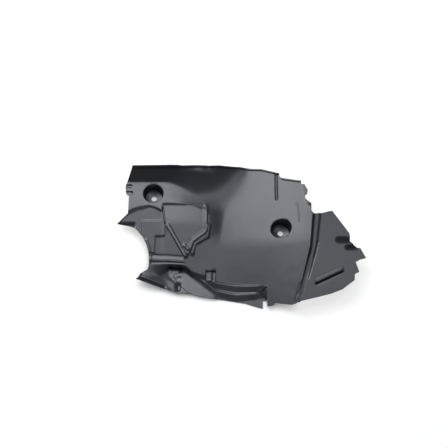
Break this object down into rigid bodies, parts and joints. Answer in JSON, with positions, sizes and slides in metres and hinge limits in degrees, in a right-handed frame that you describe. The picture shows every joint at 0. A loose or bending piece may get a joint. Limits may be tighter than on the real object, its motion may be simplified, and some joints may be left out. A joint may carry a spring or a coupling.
{
  "type": "wheel arch liner",
  "caption": "Front section of a moulded wheel arch liner, with recessed fixing wells, a strut cut-out, stiffening beads and a side wing.",
  "frame": {"origin": "middle of the right fixing hole, whose well floor stands on the rest plane", "axes": "+Z out of the fixing wells on the tyre side, +X along the arch towards the wing, +Y towards the far wall"},
  "size_m": [0.611, 0.3755, 0.0747],
  "materials": {
    "moulding": "fine-grained semi-gloss black"
  },
  "bodies": {
    "root": {"arch_liner": "moulding"}
  },
  "joints": []
}
